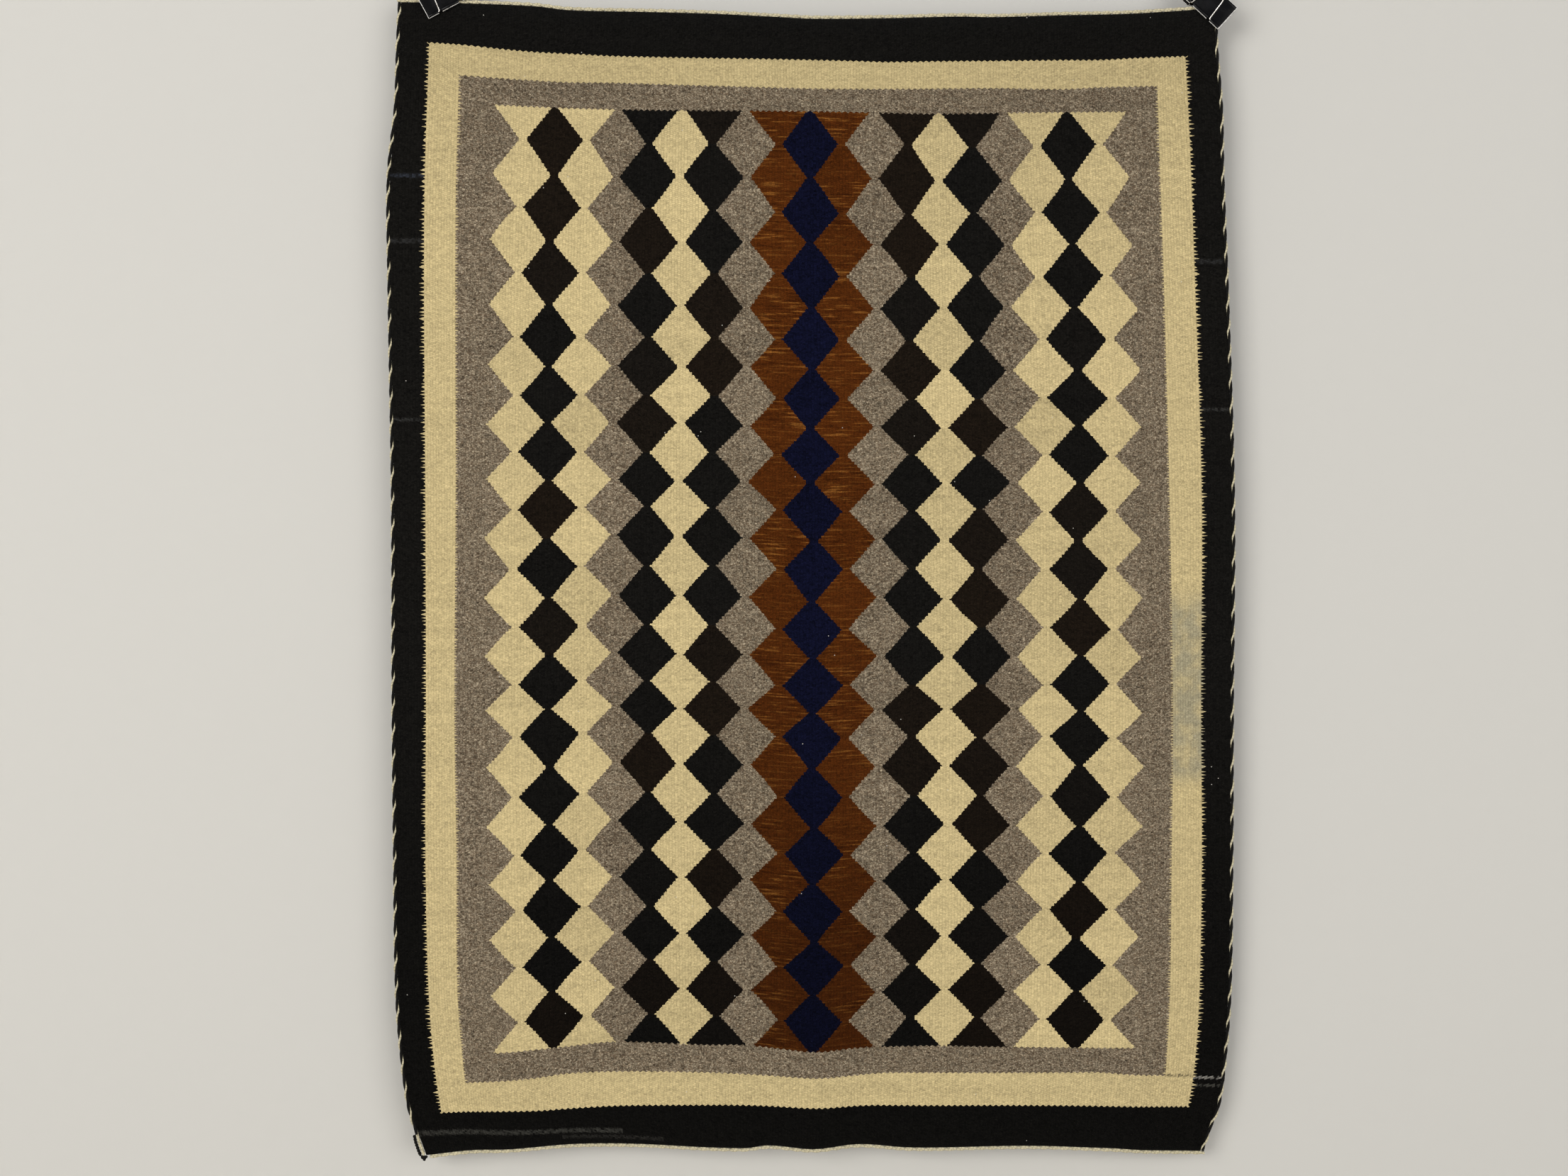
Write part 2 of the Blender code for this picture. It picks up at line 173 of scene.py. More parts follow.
# Cords
CORD_REACH = 1.6
CORD_SIDES = 8
PATH_POINTS = 160
PLY_LENGTH = 3.4
SIDE_CREAM = 0.95
SIDE_CREAM_TWIST = 1.5
SIDE_BLACK = 1.45
SIDE_BLACK_TWIST = 0.5
SIDE_TURN = 26.0
SIDE_STEP = 1.8
SIDE_UNEVEN = 0.6
LEFT_CORD_BARE = 21.0
END_STRAND = 1.2
END_TWIST = 0.8
END_TURN = 21.0
END_STEP = 1.5
END_UNEVEN = 0.7
END_CORD_RISE = 1.9
END_OVERRUN = 3.9
LEFT_FOOT_OVERRUN = -4.0
CORNER_STRAND = 1.05
CORNER_TWIST = 0.7
CORNER_TURN = 6.0
CORNER_STEP = 0.5
CORNER_UNEVEN = 0.3
KNOT_STRAND = 1.1
KNOT_TWIST = 0.65
KNOT_STEP = 0.4
KNOT_UNEVEN = 0.2
KNOT_POINTS = 60
KNOT_HALF = (1.15, 0.95, 0.75)
KNOT_LOBES = 0.8
CREAM_CORNER = (
    # across, drop
    (-9.2, -20.6), (-7.9, -15.0), (-5.6, -8.5), (-3.4, -2.8), (-2.5, -0.1),
)
BLACK_CORNER = (
    # across, drop
    (-12.2, -19.8), (-11.2, -14.0), (-8.9, -7.0), (-7.0, -2.0), (-5.8, 0.6),
)
KNOT_CENTRE = (-2.2, 2.85)

# Spring clips
CLOTH_THICK = 3.6
TOUCH_GAP = 0.3
CLIP_WIDTH = 51.0
SHEET_THICK = 0.8
MERGE_WITHIN = 0.01
EDGE_SOFTENING = 0.14
EDGE_SEGMENTS = 2
SOFTEN_ANGLE = 50
SHARP_ANGLE = 40
# Widths of the painted highlight along the clip's cut edges, the foot of its roll and the bend at its spine
CUT_EDGE_HIGHLIGHT = 0.5
FOOT_HIGHLIGHT = 0.25
BEND_HIGHLIGHT = 0.8
ROLL_RADIUS = 1.5
ROLL_START = 20.0
ROLL_TURN = 270.0
ROLL_STEPS = 20
PLATE_SLOPE = 20.0
SPINE_DEPTH = 27.5
SPINE_CORNER = 2.5
SPINE_STEPS = 8
TONGUE_HALF = 9.5
KNUCKLE_START = 13.5
WIRE_RADIUS = 0.8
HANDLE_HALF = (
    # across the jaw, along the plate
    (23.0, 0.0), (13.4, 0.0), (12.3, 0.3), (12.0, 1.2), (10.2, 20.0), (6.9, 31.0),
    (6.4, 34.0), (6.9, 37.4),
)
HANDLE_LOOP_CENTRE = 41.0
HANDLE_LOOP_RADIUS = 7.4
HANDLE_LOOP_STEPS = 10

# Wool colours as they look in even light, red, green and blue of 255
BLACK_WOOL = (18, 17, 15)
CREAM_WOOL = (193, 175, 129)
CORD_WOOL = (193, 184, 154)
GREY_WOOL = (103, 88, 70)
RUST_WOOL = (74, 36, 8)
NAVY_WOOL = (10, 12, 32)
BROWN_BLACK_WOOL = (25, 18, 11)
GOLD_STREAK = (132, 84, 34)
UMBER_STREAK = (48, 19, 3)
PALE_FLEECE = (180, 168, 144)
DARK_FLEECE = (58, 47, 37)
LINT_COLOUR = (196, 192, 182)

# Enamel colours, the colour of the painted highlight on the clips' edges, and nickel colours
ENAMEL = (8, 8, 9)
SMEARED_ENAMEL = (14, 14, 16)
PAINTED_HIGHLIGHT_COLOUR = (236, 234, 229)
NICKEL = (214, 211, 205)
DULL_NICKEL = (150, 146, 138)

# How uneven black, cream, grey, rust and navy yarn is, and how much deeper each dye is low down
HEATHER = (0.7, 0.35, 0.8, 0.5, 0.8)
DEEPENS = (0.4, 0.0, 0.0, 0.4, 0.4)

# Faint stripes where the yarn changed, and one stain in the right cream border
STREAKS = (
    # first warp, last warp, weft, wefts down a warp, wefts high, strength, red, green, blue
    (0, 11, 189, 0.0, 3, 0.35, 70, 76, 88),
    (0, 11, 256, 0.0, 4, 0.30, 66, 66, 66),
    (0, 11, 452, 0.0, 3, 0.35, 70, 70, 68),
    (273, 283, 270, 0.0, 4, 0.30, 66, 66, 66),
    (273, 283, 434, 0.0, 3, 0.35, 70, 70, 68),
    (0, 76, 1294, 0.13, 5, 0.6, 66, 65, 60),
    (55, 90, 1310, 0.1, 4, 0.25, 70, 68, 64),
    (262, 273, 1235, 0.0, 3, 0.75, 40, 36, 30),
    (273, 283, 1237, 0.0, 2, 0.70, 150, 146, 138),
    (273, 283, 1246, 0.0, 2, 0.30, 110, 108, 100),
)
STAIN = (
    # first warp, then the wefts where it begins, is full, starts to fade and ends
    262, 640, 680, 860, 890,
)
STAIN_COLOUR = (151, 144, 119)
LINT_SHARE = 0.00005


def smooth_at(rows, place, column=1):
    """Read a column of a table on a smooth curve through its rows, held past the ends."""
    table = np.array(rows, dtype=float)
    places, values = table[:, 0], table[:, column]
    last = len(places) - 1
    low = np.maximum(np.arange(last + 1) - 1, 0)
    high = np.minimum(np.arange(last + 1) + 1, last)
    slopes = (values[high] - values[low]) / (places[high] - places[low])
    start = np.clip(np.searchsorted(places, place, side="right") - 1, 0, last - 1)
    span = places[start + 1] - places[start]
    t = np.clip((place - places[start]) / span, 0.0, 1.0)
    return ((2 * t**3 - 3 * t**2 + 1) * values[start]
            + (t**3 - 2 * t**2 + t) * span * slopes[start]
            + (3 * t**2 - 2 * t**3) * values[start + 1]
            + (t**3 - t**2) * span * slopes[start + 1])


def between(counts, values, count):
    """Straight-line reading between the pattern's lines, each value an array."""
    counts = np.array(counts, dtype=float)
    slot = np.clip(np.searchsorted(counts, count, side="right") - 1, 0, len(counts) - 2)
    share = (count - counts[slot]) / (counts[slot + 1] - counts[slot])
    stacked = np.stack(values)
    places = np.arange(count.size)
    return stacked[slot, places] * (1 - share) + stacked[slot + 1, places] * share


def lift_at(across, drop):
    """How far the cloth stands forward: a broad bow and soft folds, calm where the clips hold it."""
    down = np.clip(drop / RUG_DROP, 0.0, 1.0)
    bow = BOW_SHARE_AT_ENDS + (1 - BOW_SHARE_AT_ENDS) * np.sin(math.pi * down)
    lift = BOW_LIFT * bow * np.cos(math.pi * across / BOW_SPAN)
    for centre, half_width, top, middle, bottom in FOLDS:
        height = smooth_at(((0.0, top), (0.5, middle), (1.0, bottom)), down)
        lift = lift + height * np.exp(-((across - centre) / half_width) ** 2)
    for _, clip_across, clip_drop, _ in CLIPS:
        away = np.hypot(across - clip_across, drop - clip_drop)
        t = np.clip((away - CLIP_CALM[0]) / (CLIP_CALM[1] - CLIP_CALM[0]), 0.0, 1.0)
        lift = lift * t * t * (3 - 2 * t)
    return lift


def drop_of(weft, across):
    """Drop of a weft at a place across, between the pattern's lines."""
    field = [smooth_at(LINES_ACROSS, across, column) for column in (3, 4)]
    rows = (weft - WEFT_OF_LINE[3]) / HALF_ROW
    middle = smooth_at(ROW_CENTRES, rows)
    share = (middle - ROW_CENTRES[0][1]) / (ROW_CENTRES[-1][1] - ROW_CENTRES[0][1])
    in_field = field[0] + (field[1] - field[0]) * share
    lines = [smooth_at(TOP_EDGE, across)]
    lines += [smooth_at(LINES_ACROSS, across, column) for column in range(1, 7)]
    lines.append(smooth_at(BOTTOM_EDGE, across))
    outside = between(WEFT_OF_LINE, lines, weft)
    return np.where((weft > WEFT_OF_LINE[3]) & (weft < WEFT_OF_LINE[4]), in_field, outside)


def cloth_places(warp, weft):
    """Middle of the cloth's thickness at counts of warps and wefts, in metres, one row a place."""
    warp, weft = np.broadcast_arrays(np.asarray(warp, float), np.asarray(weft, float))
    warp, weft = warp.ravel(), weft.ravel()
    drop = weft / WEFT_OF_LINE[-1] * RUG_DROP
    for _ in range(4):
        lines = [smooth_at(LINES_DOWN, drop, column) for column in range(1, 10)]
        across = between(WARP_OF_LINE, lines, warp)
        drop = drop_of(weft, across)
    return np.stack((across, -lift_at(across, drop), -drop), axis=1) * MM


def linear(colour):
    """Red, green and blue of 255 as Blender's scene colour."""
    shares = [value / 255 for value in colour]
    return tuple(s / 12.92 if s <= 0.04045 else ((s + 0.055) / 1.055) ** 2.4 for s in shares) + (1.0,)


class Wire:
    """A shader socket that takes part in Python's arithmetic."""

    def __init__(self, finish, socket):
        self.finish = finish
        self.socket = socket

    def maths(self, operation, *others):
        return self.finish.node("ShaderNodeMath", {"operation": operation}, (self, *others))

    def __add__(self, other):
        return self.maths("ADD", other)

    def __sub__(self, other):
        return self.maths("SUBTRACT", other)

    def __mul__(self, other):
        return self.maths("MULTIPLY", other)

    def __truediv__(self, other):
        return self.maths("DIVIDE", other)

    def __mod__(self, other):
        return self.maths("FLOORED_MODULO", other)

    def __pow__(self, other):
        return self.maths("POWER", other)

    def __gt__(self, other):
        return self.maths("GREATER_THAN", other)

    def __lt__(self, other):
        return self.maths("LESS_THAN", other)

    def __rsub__(self, other):
        return self.finish.node("ShaderNodeMath", {"operation": "SUBTRACT"}, (other, self))

    def __abs__(self):
        return self.maths("ABSOLUTE")

    def __neg__(self):
        return self * -1.0

    __radd__ = __add__
    __rmul__ = __mul__

    def floor(self):
        return self.maths("FLOOR")

    def fraction(self):
        return self.maths("FRACT")

    def sine(self):
        return self.maths("SINE")

    def cosine(self):
        return self.maths("COSINE")

    def most(self, other):
        return self.maths("MAXIMUM", other)

    def ramp(self, low, high, to_low=0.0, to_high=1.0):
        """A soft step from to_low to to_high between low and high."""
        settings = {"interpolation_type": "SMOOTHSTEP"}
        return self.finish.node("ShaderNodeMapRange", settings, (self, low, high, to_low, to_high))


class Finish:
    """A material whose Principled shader is fed by nodes and wires."""

    def __init__(self, name):
        self.material = bpy.data.materials.new(name)
        self.material.use_nodes = True
        self.tree = self.material.node_tree
        self.shader = self.tree.nodes["Principled BSDF"]

    def node(self, kind, settings=None, sockets=(), out=0):
        made = self.tree.nodes.new(kind)
        for name, value in (settings or {}).items():
            if name == "stops":
                self.set_stops(made.color_ramp, value)
            else:
                setattr(made, name, value)
        pairs = sockets.items() if isinstance(sockets, dict) else enumerate(sockets)
        for key, value in pairs:
            self.feed(made.inputs[key], value)
        return Wire(self, made.outputs[out])

    def set_stops(self, ramp, stops):
        ramp.interpolation = "CONSTANT"
        while len(ramp.elements) < len(stops):
            ramp.elements.new(1.0)
        for element, (place, colour) in zip(ramp.elements, stops):
            element.position = place
            element.color = colour

    def feed(self, socket, value):
        if isinstance(value, Wire):
            self.tree.links.new(value.socket, socket)
        else:
            socket.default_value = value

    def mix(self, share, first, second):
        """Colour between first and second by a share."""
        made = self.tree.nodes.new("ShaderNodeMix")
        made.data_type = "RGBA"
        for key, value in ((0, share), (6, first), (7, second)):
            self.feed(made.inputs[key], value)
        return Wire(self, made.outputs[2])

    def shade(self, colour, amount):
        """Colour times an amount of light."""
        grey = self.node("ShaderNodeCombineXYZ", sockets=(amount, amount, amount))
        return self.node("ShaderNodeVectorMath", {"operation": "MULTIPLY"}, (colour, grey))

    def noise(self, place, scale, detail=2.0, roughness=0.5):
        sockets = {"Vector": place, "Scale": scale, "Detail": detail, "Roughness": roughness}
        return self.node("ShaderNodeTexNoise", sockets=sockets)

    def dice(self, place):
        """A random number from 0 to 1 for each whole place."""
        return self.node("ShaderNodeTexWhiteNoise", {"noise_dimensions": "3D"}, {"Vector": place})

    def place(self, x, y, z=0.0):
        return self.node("ShaderNodeCombineXYZ", sockets=(x, y, z))

    def parts(self, vector):
        split = self.node("ShaderNodeSeparateXYZ", sockets=(vector,)).socket.node
        return [Wire(self, socket) for socket in split.outputs]

    def attribute(self, name):
        return self.node("ShaderNodeAttribute", {"attribute_name": name}, out="Vector")

    def own_place(self):
        return self.node("ShaderNodeTexCoord", out="Object")

    def bump(self, height, distance):
        sockets = {"Strength": 1.0, "Distance": distance, "Height": height}
        self.feed(self.shader.inputs["Normal"], self.node("ShaderNodeBump", sockets=sockets))

    def surface(self, **values):
        for name, value in values.items():
            self.feed(self.shader.inputs[name.replace("_", " ")], value)


def woven_wool():
    """The tapestry, coloured by the pattern half way between each bead's middle and the place itself."""
    wool = Finish("woven wool")
    warp, weft, _ = wool.parts(wool.attribute("weave"))
    rib = warp.floor()
    odd = rib % 2.0
    slant = wool.noise(wool.place(0.0, weft / 70.0, 9.0), 1.0, 0.0).ramp(0.42, 0.58, -1.0, 1.0)
    passes = (weft + odd + slant * (warp.fraction() - 0.5)) / 2.0
    bead = passes.floor()
    middle = bead * 2.0 + 1.0 - odd
    scalloped = weft + (warp * math.pi).cosine() * SCALLOP

    def spikes(pitch, least, most, seed):
        """How far the cream wefts reach past their joint, in warps, each to its own length."""
        turn = weft / pitch + wool.noise(wool.place(seed, weft / 9.0), 1.0, 1.0) * 2.0
        reach = wool.dice(wool.place(turn.floor(), seed))
        spike = (1.0 - abs(turn.fraction() - 0.5) * 3.6).most(0.0)
        return spike * (least + reach * (most - least))

    def inside(line, beyond):
        left, right = WARP_OF_LINE[line], WARP_OF_LINE[-1 - line]
        top, bottom = WEFT_OF_LINE[line], WEFT_OF_LINE[-1 - line]
        return ((warp > left - beyond) * (warp - beyond < float(right))
                * (scalloped > float(top)) * (scalloped < float(bottom)))

    wander = wool.noise(wool.place(warp / 45.0, weft / 110.0), 1.0, 1.0) - 0.5
    sway = wool.noise(wool.place(warp / 30.0, weft / 60.0, 4.0), 1.0, 1.0) - 0.5
    across = ((rib + warp + 0.5) / 2.0 - WARP_OF_LINE[3] + wander * 3.0) / COLUMN_WARPS - 1.0
    down = ((middle + weft) / 2.0 - WEFT_OF_LINE[3] + sway * 9.0) / HALF_ROW
    zigzag = 1.0 - 2.0 * abs((down + 1.0) % 2.0 - 1.0)
    before = across.floor()
    way = 1.0 - 2.0 * (before % 2.0)
    edge = before + 0.5 + (0.5 - WAIST_WARPS / COLUMN_WARPS / 2) * zigzag * way
    column = before + (across > edge)
    own_row = ((down + 1.0 - column % 2.0) / 2.0 + 0.001).floor()

    black, cream, grey, rust, navy = (yarn / 4 for yarn in range(5))
    order = (navy, rust, grey, black, cream, black, grey, cream, black, cream, grey)
    stops = [((i - 0.5) / 12 if i else 0.0, (yarn, yarn, yarn, 1.0)) for i, yarn in enumerate(order)]
    field = wool.node("ShaderNodeValToRGB", {"stops": stops}, (abs(column - 9.0) / 12.0,))
    in_cream = inside(1, spikes(4.2, 0.5, 1.9, 1.0))
    in_grey = inside(2, -spikes(3.3, 0.4, 1.5, 2.0))
    in_field = inside(3, 0.0)
    yarn = in_cream * (cream + in_grey * (grey - cream + in_field * (field - grey)))

    def by_yarn(values):
        """A ramp that gives each yarn its own colour or number."""
        stops = [(max(0.0, i / 4 - 0.1), value) for i, value in enumerate(values)]
        return wool.node("ShaderNodeValToRGB", {"stops": stops}, (yarn,))

    base = by_yarn([linear(colour) for colour in
                    (BLACK_WOOL, CREAM_WOOL, GREY_WOOL, RUST_WOOL, NAVY_WOOL)])
    heather = by_yarn([(m, m, m, 1.0) for m in HEATHER])
    deepens = by_yarn([(m, m, m, 1.0) for m in DEEPENS])
    is_grey = (yarn > 0.45) * (yarn < 0.55)
    is_rust = (yarn > 0.7) * (yarn < 0.8)
    each_diamond = wool.dice(wool.place(column, own_row, 2.0)) - 0.5
    brown_black = (yarn < 0.1) * in_field * each_diamond.ramp(0.0, 0.4) * 0.8
    base = wool.mix(brown_black, base, linear(BROWN_BLACK_WOOL))

    each_bead = wool.dice(wool.place(rib, bead)) - 0.5
    along_yarn = wool.noise(wool.place(warp * 0.4, middle * 1.7), 1.0, 3.0, 0.7) - 0.5
    streak = wool.noise(wool.place(warp * 0.09, weft * 0.4, 6.0), 1.0, 2.0, 0.6)
    streaky = wool.noise(wool.place(warp / 40.0, weft / 45.0, 7.0), 1.0, 1.0).ramp(0.4, 0.6, 0.3, 1.0)
    dye_lot = wool.noise(wool.place(warp / 90.0, weft / 14.0, 3.0), 1.0, 3.0, 0.6) - 0.5
    fleck = wool.noise(wool.own_place(), 620.0, 2.0, 0.7) - 0.5
    fibre = wool.noise(wool.own_place(), 2100.0, 2.0) - 0.5
    deeper = 1.0 - deepens * weft.ramp(650.0, 1200.0)
    light = (1.0 + heather * (each_bead * 0.7 + along_yarn * 1.5 + fleck * 2.8)
             + dye_lot * 0.35 + each_diamond * in_field * 0.16 + fibre * 0.3)
    # Deeper dye low down, and painted shade: the colour is darker over the top 260 wefts.
    light = light * deeper * weft.ramp(0.0, 260.0, 0.88, 1.0)

    def strokes(seed):
        """Thin curling strokes, as the fibres of carded fleece lie in handspun yarn."""
        curl = wool.noise(wool.place(warp * 0.8, weft * 0.4, seed), 1.0, 2.0, 0.6)
        return (1.0 - abs(curl - 0.5) * 8.0).most(0.0) * fleck.ramp(-0.14, 0.06, 0.2, 1.0)

    base = wool.mix(is_grey * strokes(12.0) * 0.7, base, linear(PALE_FLEECE))
    base = wool.mix(is_grey * strokes(23.0) * 0.65, base, linear(DARK_FLEECE))
    base = wool.mix(is_rust * streaky * streak.ramp(0.54, 0.68) * 0.8, base, linear(GOLD_STREAK))
    base = wool.mix(is_rust * streaky * streak.ramp(0.34, 0.46, 0.75, 0.0), base, linear(UMBER_STREAK))

    # Painted shade: the colour is darkened in the valleys between ribs and in the dips between beads.
    across_rib = (warp.fraction() * math.pi).sine()
    across_bead = (passes.fraction() * math.pi).sine()
    light = light * across_rib.ramp(0.0, 0.6, 0.86, 1.0) * across_bead.ramp(0.0, 0.6, 0.8, 1.0)
    colour = wool.shade(base, light.most(0.12))

    for first, last, at, tilt, high, strength, *tone in STREAKS:
        off = abs(middle - float(at) - (warp - float(first)) * tilt)
        band = ((warp > float(first)) * (warp < float(last))
                * (1.0 - off.ramp(high * 0.4, high * 0.8)))
        patch = wool.noise(wool.place(warp * 0.5, middle, float(at)), 1.0, 2.0).ramp(0.35, 0.6)
        colour = wool.mix(band * patch * strength, colour, linear(tone))
    first, top, full, fading, bottom = (float(value) for value in STAIN)
    patchy = wool.noise(wool.place(warp / 6.0, weft / 22.0, 5.0), 1.0, 3.0).ramp(0.3, 0.6, 0.3, 0.9)
    stain = (in_cream * (warp > first) * weft.ramp(top, full)
             * weft.ramp(fading, bottom, 1.0, 0.0) * patchy)
    colour = wool.mix(stain, colour, wool.shade(linear(STAIN_COLOUR)[:3], light))
    lint = wool.dice(wool.place((warp * 3.5).floor(), weft.floor(), 11.0)) > 1.0 - LINT_SHARE
    colour = wool.mix(lint * 0.8, colour, linear(LINT_COLOUR))

    wool.surface(Base_Color=colour, Roughness=0.95, Specular_IOR_Level=0.04,
                 Sheen_Weight=0.01, Sheen_Roughness=0.5)
    height = across_rib ** 0.7 * 0.4 + across_bead ** 0.8 * 0.5 + fibre * 0.25
    wool.bump(height, 0.0005)
    return wool.material


def plied_wool(name, first, second=None):
    """Plied yarn, of one colour or of two by its strand, with the ply as fine slanting grooves darkened by
    painted shade.
    """
    wool = Finish(name)
    strand, along, around = wool.parts(wool.attribute("ply"))
    groove = ((along / (PLY_LENGTH * MM) + around).fraction() * math.pi).sine()
    fibre = wool.noise(wool.own_place(), 1500.0, 3.0) - 0.5
    lumps = wool.noise(wool.own_place(), 120.0, 2.0) - 0.5
    light = 1.0 + fibre * 0.5 + lumps * 0.4
    # Painted shade: the colour is darkened in the ply's grooves.
    light = light * groove.ramp(0.0, 0.6, 0.6, 1.0)
    base = wool.mix(strand > 0.5, linear(first), linear(second or first))
    wool.surface(Base_Color=wool.shade(base, light.most(0.1)), Roughness=0.9,
                 Specular_IOR_Level=0.1, Sheen_Weight=0.05, Sheen_Roughness=0.5)
    wool.bump(groove * 0.7 + fibre * 0.4, 0.0004)
    return wool.material


def black_enamel():
    """Glossy enamel on folded spring steel, finely orange-peeled, with a painted highlight along its cut
    edges, the foot of its roll and the bend at its spine.
    """
    enamel = Finish("black enamel")
    place = enamel.own_place()
    along, forward, height = enamel.parts(enamel.attribute("seat"))
    peel = enamel.noise(place, 900.0, 2.0)
    smears = enamel.noise(place, 90.0, 3.0)
    highlight_breakup = enamel.noise(place, 700.0, 3.0).ramp(0.3, 0.5, 0.35, 1.0)
    # Painted highlight: the cut edges, the foot of the rolled jaw and the bend at the spine are coloured
    # near-white where light would glint on them, broken up by noise.
    cut_edge = abs(along) > CLIP_WIDTH / 2 - CUT_EDGE_HIGHLIGHT
    roll_foot = height < FOOT_HIGHLIGHT
    spine_bend = (height > SPINE_DEPTH - BEND_HIGHLIGHT) * (abs(forward) > clip_profile()[-2][0])
    painted_highlight = cut_edge.most(roll_foot).most(spine_bend) * highlight_breakup
    colour = enamel.mix(smears.ramp(0.45, 0.75), linear(ENAMEL), linear(SMEARED_ENAMEL))
    enamel.surface(Base_Color=enamel.mix(painted_highlight, colour, linear(PAINTED_HIGHLIGHT_COLOUR)),
                   Roughness=smears.ramp(0.3, 0.7, 0.16, 0.3), Specular_IOR_Level=0.12,
                   Coat_Weight=0.03, Coat_Roughness=0.08)
    enamel.bump(peel, 0.00003)
    return enamel.material


def nickel_wire():
    """Bright nickel on drawn wire, with faint lengthwise scratches and dull spots."""
    nickel = Finish("nickel wire")
    place = nickel.own_place()
    dull = nickel.noise(place, 260.0, 3.0)
    scratches = nickel.noise(place, 2600.0, 2.0)
    colour = nickel.mix(dull.ramp(0.4, 0.75), linear(NICKEL), linear(DULL_NICKEL))
    nickel.surface(Base_Color=colour, Metallic=1.0, Roughness=dull.ramp(0.3, 0.8, 0.16, 0.36))
    nickel.bump(scratches, 0.00002)
    return nickel.material


def plain(name, colour, roughness):
    finish = Finish(name)
    finish.surface(Base_Color=linear(colour), Roughness=roughness)
    return finish


def add(name, data, finish=None):
    made = bpy.data.objects.new(name, data)
    bpy.context.scene.collection.objects.link(made)
    if finish:
        data.materials.append(finish)
    return made


def place_camera():
    """Square on to the rug, taking in as much of it and its surroundings as the photograph."""
    data = bpy.data.cameras.new("camera")
    data.sensor_width = SENSOR_WIDTH
    data.lens = SENSOR_WIDTH * CAMERA_DISTANCE / (PHOTO_WIDTH * MM)
    camera = add("camera", data)
    camera.location = (PHOTO_CENTRE[0] * MM, -CAMERA_DISTANCE, -PHOTO_CENTRE[1] * MM)
    camera.rotation_euler = (math.pi / 2, 0, 0)
    bpy.context.scene.camera = camera


def area_light(name, place, size, power, colour):
    data = bpy.data.lights.new(name, "AREA")
    data.shape = "RECTANGLE"
    data.size, data.size_y = size
    data.energy = power
    data.color = colour
    lamp = add(name, data)
    lamp.location = place
    lamp.rotation_euler = (Vector(LIGHT_AIM) - Vector(place)).to_track_quat("-Z", "Y").to_euler()


def make_stage():
    """A pale wall seen only from its front, a pale floor and soft daylight from the upper left."""
    wall_finish = plain("pale wall", WALL_COLOUR, 0.9)
    behind = wall_finish.node("ShaderNodeNewGeometry", out="Backfacing")
    clear = wall_finish.node("ShaderNodeBsdfTransparent")
    front = Wire(wall_finish, wall_finish.shader.outputs[0])
    seen = wall_finish.node("ShaderNodeMixShader", sockets=(behind, front, clear))
    output = wall_finish.tree.nodes["Material Output"]
    wall_finish.tree.links.new(seen.socket, output.inputs["Surface"])
    corners = ((-1, -1), (1, -1), (1, 1), (-1, 1))
    wall = bpy.data.meshes.new("wall")
    wall.from_pydata([(x * WALL_HALF_WIDE, WALL_BEHIND, WALL_CENTRE + z * WALL_HALF_HIGH)
                      for x, z in corners], [], [(0, 1, 2, 3)])
    add("wall", wall, wall_finish.material)
    low = -RUG_DROP * MM - FLOOR_BELOW
    floor = bpy.data.meshes.new("floor")
    floor.from_pydata([(x * FLOOR_REACH, y * FLOOR_REACH, low) for x, y in corners],
                      [], [(0, 1, 2, 3)])
    add("floor", floor, plain("pale floor", FLOOR_COLOUR, 0.8).material)
    for row in LIGHTS:
        area_light(*row)
    world = bpy.context.scene.world or bpy.data.worlds.new("room")
    bpy.context.scene.world = world
    world.use_nodes = True
    backdrop = world.node_tree.nodes["Background"]
    backdrop.inputs["Color"].default_value = ROOM_GLOW
    backdrop.inputs["Strength"].default_value = ROOM_STRENGTH
    bpy.context.scene.view_settings.view_transform = "Standard"


